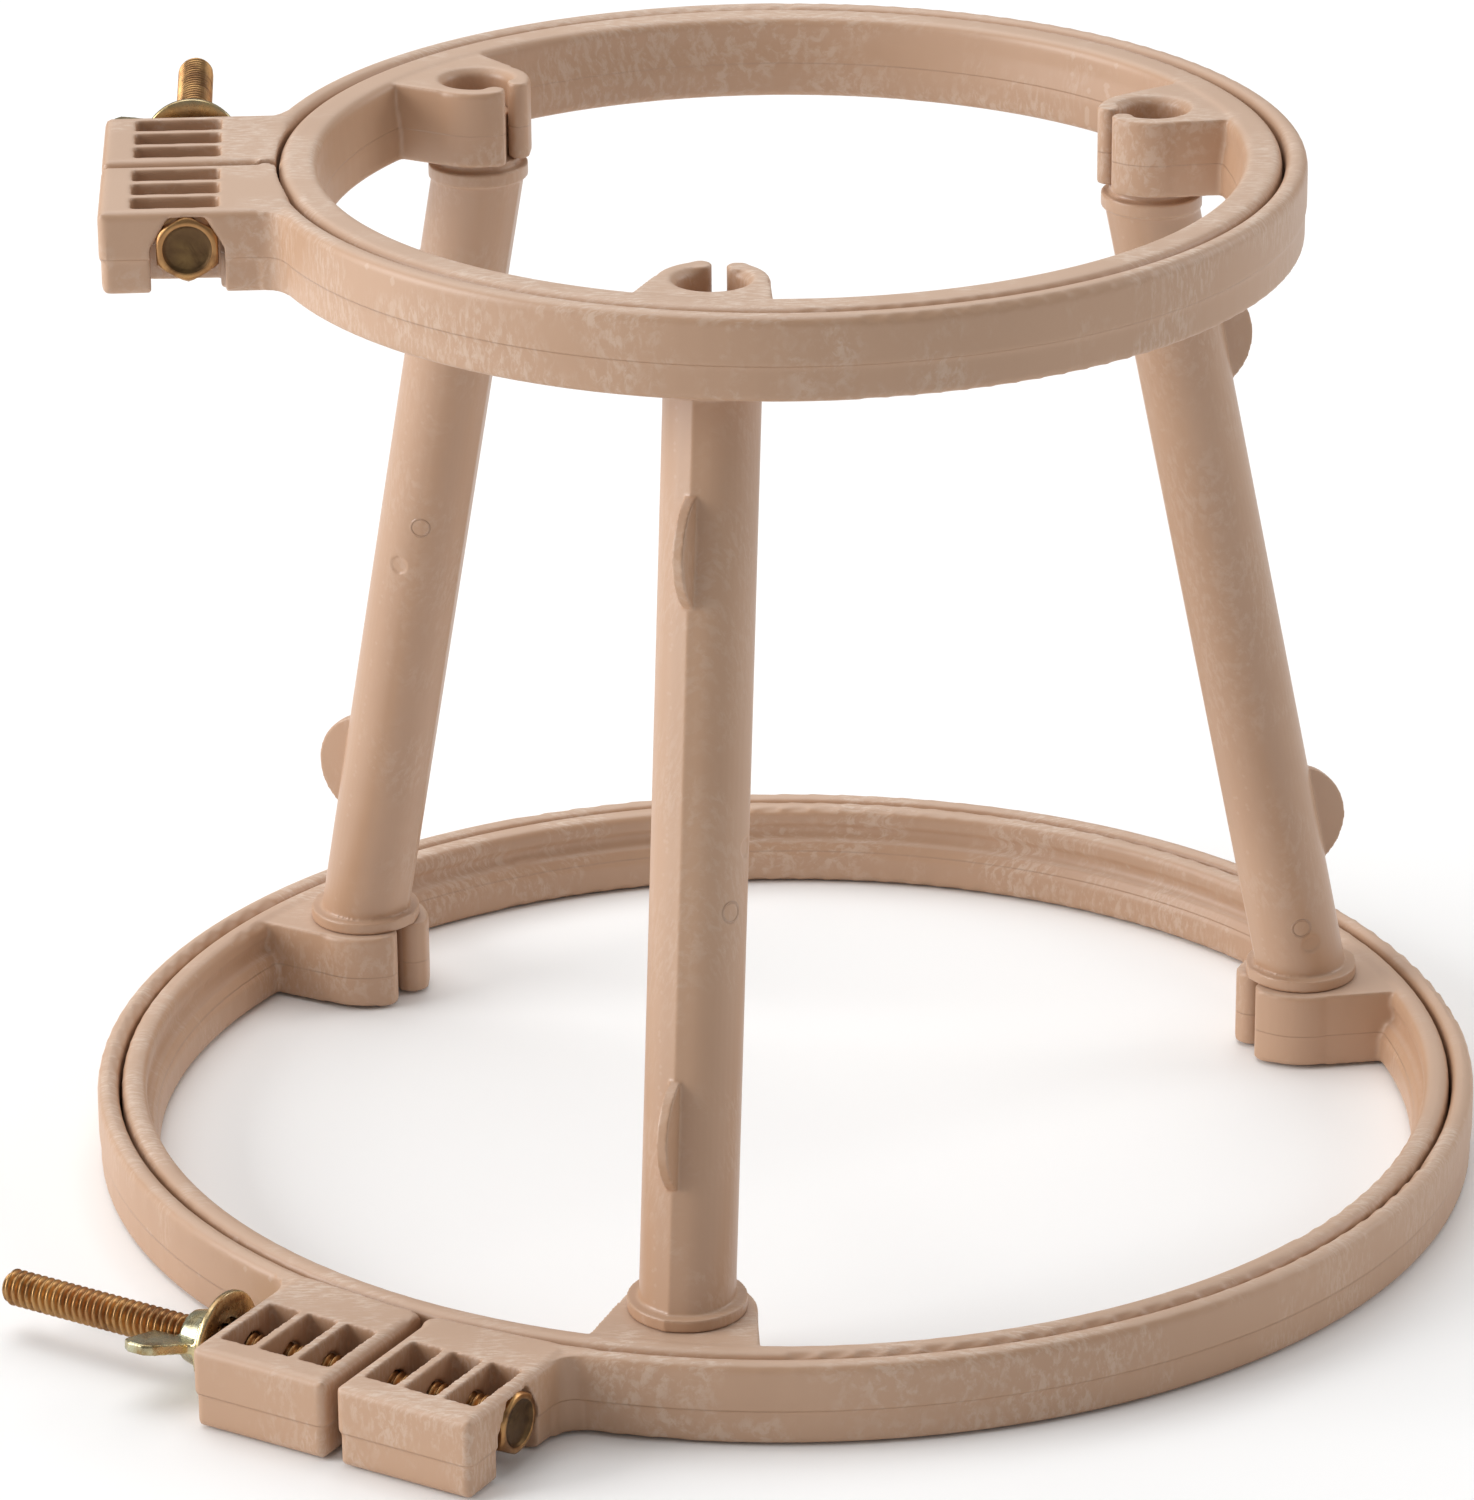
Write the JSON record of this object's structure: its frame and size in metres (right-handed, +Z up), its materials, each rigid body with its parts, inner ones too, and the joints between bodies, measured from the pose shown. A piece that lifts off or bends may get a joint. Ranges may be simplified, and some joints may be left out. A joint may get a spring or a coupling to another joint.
{
  "type": "embroidery hoop on stand",
  "caption": "Lap stand for embroidery with a small clamping hoop held over a larger one by splayed legs, each hoop closed by a bolt and wing nut.",
  "frame": {"origin": "on the hoops' common axis, in the plane the larger hoop rests on", "axes": "+Z up along the hoops' common axis, -Y towards the front leg, -X towards the upper clamp"},
  "size_m": [0.1957, 0.2022, 0.1421],
  "materials": {
    "plastic": "matt tan moulded plastic, scuffed pale on the upper faces",
    "hardware": "yellow zinc plated steel"
  },
  "bodies": {
    "stand": {"lower_inner_hoop": "plastic", "upper_inner_hoop": "plastic", "leg_front": "plastic", "leg_right": "plastic", "leg_left": "plastic"},
    "lower_hoop": {"lower_outer_hoop": "plastic", "lower_bolt": "hardware"},
    "lower_washer": {"lower_washer": "hardware"},
    "lower_nut": {"lower_wing_nut": "hardware"},
    "upper_hoop": {"upper_outer_hoop": "plastic", "upper_bolt": "hardware"},
    "upper_washer": {"upper_washer": "hardware"},
    "upper_nut": {"upper_wing_nut": "hardware"}
  },
  "joints": [
    {"name": "lower_hoop_lift", "type": "slide", "parent": "stand", "child": "lower_hoop", "axis": [0, 0, 1], "range_m": [0, 0.02]},
    {"name": "lower_washer_slide", "type": "slide", "parent": "lower_hoop", "child": "lower_washer", "axis": [-0.8652, 0.5015, 0], "range_m": [-0.0018, 0.018]},
    {"name": "lower_nut_turn", "type": "hinge", "parent": "lower_washer", "child": "lower_nut", "pos_m": [-0.07181, -0.07662, 0.0061], "axis": [-0.8652, 0.5015, 0], "range_deg": [-600, 6120]},
    {"name": "upper_hoop_lift", "type": "slide", "parent": "stand", "child": "upper_hoop", "axis": [0, 0, 1], "range_m": [0, 0.02]},
    {"name": "upper_washer_slide", "type": "slide", "parent": "upper_hoop", "child": "upper_washer", "axis": [-0.0593, 0.9982, 0], "range_m": [-0.0018, 0.018]},
    {"name": "upper_nut_turn", "type": "hinge", "parent": "upper_washer", "child": "upper_nut", "pos_m": [-0.07817, 0.0191, 0.1355], "axis": [-0.0593, 0.9982, 0], "range_deg": [-600, 6120]}
  ],
  "couplings": [
    {"joint": "lower_washer_slide", "follows": "lower_nut_turn", "m_per_rad": 0.00016844},
    {"joint": "upper_washer_slide", "follows": "upper_nut_turn", "m_per_rad": 0.00016844}
  ]
}
